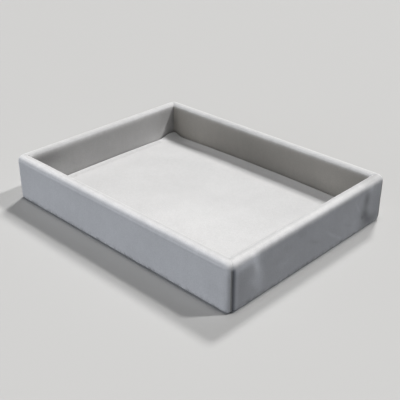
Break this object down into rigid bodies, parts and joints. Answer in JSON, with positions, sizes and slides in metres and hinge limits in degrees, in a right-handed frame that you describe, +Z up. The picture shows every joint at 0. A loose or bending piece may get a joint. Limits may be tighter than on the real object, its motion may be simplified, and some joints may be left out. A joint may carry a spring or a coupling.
{
  "type": "jewelry tray",
  "caption": "Shallow open rectangular tray for loose jewelry, with a wooden frame covered in velvet inside and out, a rounded rim, a soft crowned floor pad and a felt underside.",
  "frame": {"origin": "middle of the underside, on the surface that the tray stands on", "axes": "+X along the tray, +Y across it, +Z up out of the open top"},
  "size_m": [0.2, 0.152, 0.033],
  "materials": {
    "velvet": "matte",
    "frame_wood": "matte",
    "base_wood": "matte",
    "steel": "satin",
    "card": "matte",
    "foam": "matte",
    "felt": "matte"
  },
  "bodies": {
    "root": {"front_rail": "frame_wood", "back_rail": "frame_wood", "left_rail": "frame_wood", "right_rail": "frame_wood", "base_board": "base_wood", "corner_brads": "steel", "base_brads": "steel", "front_velvet": "velvet", "back_velvet": "velvet", "left_velvet": "velvet", "right_velvet": "velvet", "pad_card": "card", "pad_foam": "foam", "pad_velvet": "velvet", "base_felt": "felt"}
  },
  "joints": []
}
